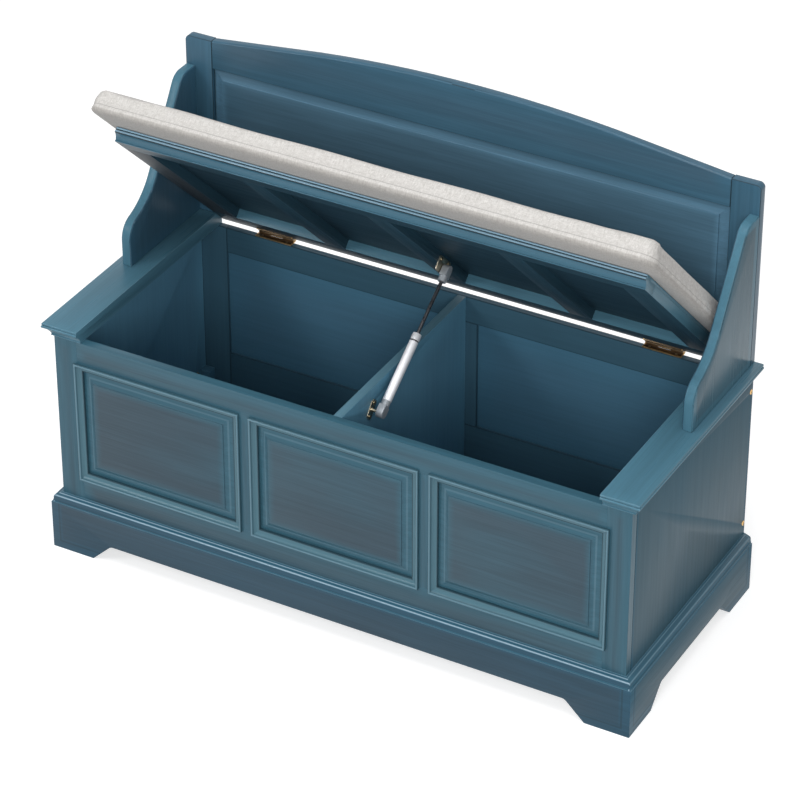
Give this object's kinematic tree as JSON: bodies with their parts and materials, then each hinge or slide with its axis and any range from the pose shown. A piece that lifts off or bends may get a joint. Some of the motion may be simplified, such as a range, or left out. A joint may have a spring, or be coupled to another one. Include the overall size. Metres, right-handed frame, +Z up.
{
  "type": "storage bench",
  "caption": "Storage bench with a panelled box, bracket-foot plinth, arched back, wings, and a cushioned lid that hinges shut over the compartments and is held up by a gas strut",
  "frame": {"origin": "on the floor, under the middle of the bench's overall width and depth as it stands with its lid open", "axes": "+X to the right as seen from the front, +Y towards the backrest, +Z up"},
  "size_m": [1.082, 0.474, 0.8259],
  "materials": {
    "blue_paint": "satin blue paint with a rubbed dark glaze over wood",
    "lid_paint": "satin blue paint over wood",
    "inner_paint": "thin dark blue paint over board",
    "cushion_fabric": "plain woven linen over foam",
    "brass_fixings": "satin brass",
    "hinge_brass": "darkened brass",
    "dark_screws": "satin brass",
    "strut_tube": "bright silver",
    "strut_steel": "polished dark steel",
    "strut_plate": "zinc plated",
    "strut_fitting": "moulded grey plastic"
  },
  "bodies": {
    "box": {"back_bottom_rail": "blue_paint", "back_muntin": "blue_paint", "back_panel_left": "inner_paint", "back_panel_right": "inner_paint", "back_stile_left": "blue_paint", "back_stile_right": "blue_paint", "back_top_rail": "blue_paint", "backrest_bottom_rail": "blue_paint", "backrest_panel": "blue_paint", "backrest_stile_left": "blue_paint", "backrest_stile_right": "blue_paint", "backrest_top_rail": "blue_paint", "box_hardware_screws": "dark_screws", "cap_left": "blue_paint", "cap_right": "blue_paint", "corner_blocks": "inner_paint", "corner_bolts": "brass_fixings", "divider": "inner_paint", "floor_panel": "inner_paint", "foot_blocks": "inner_paint", "front_bottom_rail": "blue_paint", "front_moulding_centre": "blue_paint", "front_moulding_left": "blue_paint", "front_moulding_right": "blue_paint", "front_muntin_left": "blue_paint", "front_muntin_right": "blue_paint", "front_panel_centre": "blue_paint", "front_panel_left": "blue_paint", "front_panel_right": "blue_paint", "front_stile_left": "blue_paint", "front_stile_right": "blue_paint", "front_top_rail": "blue_paint", "hinge_fixed_leaves": "hinge_brass", "hinge_pins": "hinge_brass", "plinth_front": "blue_paint", "plinth_left": "blue_paint", "plinth_right": "blue_paint", "side_panel_left": "blue_paint", "side_panel_right": "blue_paint", "side_screws": "brass_fixings", "strut_lower_mount": "strut_plate", "wing_left": "blue_paint", "wing_right": "blue_paint"},
    "lid": {"hinge_moving_leaves": "hinge_brass", "lid_batten_centre": "lid_paint", "lid_batten_left": "lid_paint", "lid_batten_right": "lid_paint", "lid_front_rail": "lid_paint", "lid_hardware_screws": "dark_screws", "lid_panel": "lid_paint", "lid_rear_rail": "lid_paint", "lid_side_rail_left": "lid_paint", "lid_side_rail_right": "lid_paint", "strut_upper_bracket": "strut_plate"},
    "seat_cushion": {"cushion": "cushion_fabric"},
    "strut_tube": {"strut_cylinder": "strut_tube", "strut_lower_fitting": "strut_fitting"},
    "strut_plunger": {"strut_rod": "strut_steel", "strut_upper_fitting": "strut_fitting", "strut_upper_stud": "strut_steel"}
  },
  "joints": [
    {"name": "lid_hinge", "type": "hinge", "parent": "box", "child": "lid", "pos_m": [0, 0.22498, 0.4195], "axis": [1, 0, 0], "range_deg": [0, 44]},
    {"name": "cushion_slip", "type": "slide", "parent": "lid", "child": "seat_cushion", "axis": [0, 0.7193, -0.6947], "range_m": [0, 0.071]},
    {"name": "strut_swing", "type": "hinge", "parent": "box", "child": "strut_tube", "pos_m": [0.026, -0.11262, 0.3777], "axis": [1, 0, 0], "range_deg": [-23.2, 0]},
    {"name": "strut_stroke", "type": "slide", "parent": "strut_tube", "child": "strut_plunger", "axis": [0, 0.8223, 0.569], "range_m": [-0.085, 0]}
  ],
  "couplings": [
    {"joint": "cushion_slip", "follows": "lid_hinge", "m_per_rad": 0.09245},
    {"joint": "strut_swing", "follows": "lid_hinge", "ratio": -0.52422},
    {"joint": "strut_stroke", "follows": "lid_hinge", "m_per_rad": -0.11036}
  ]
}
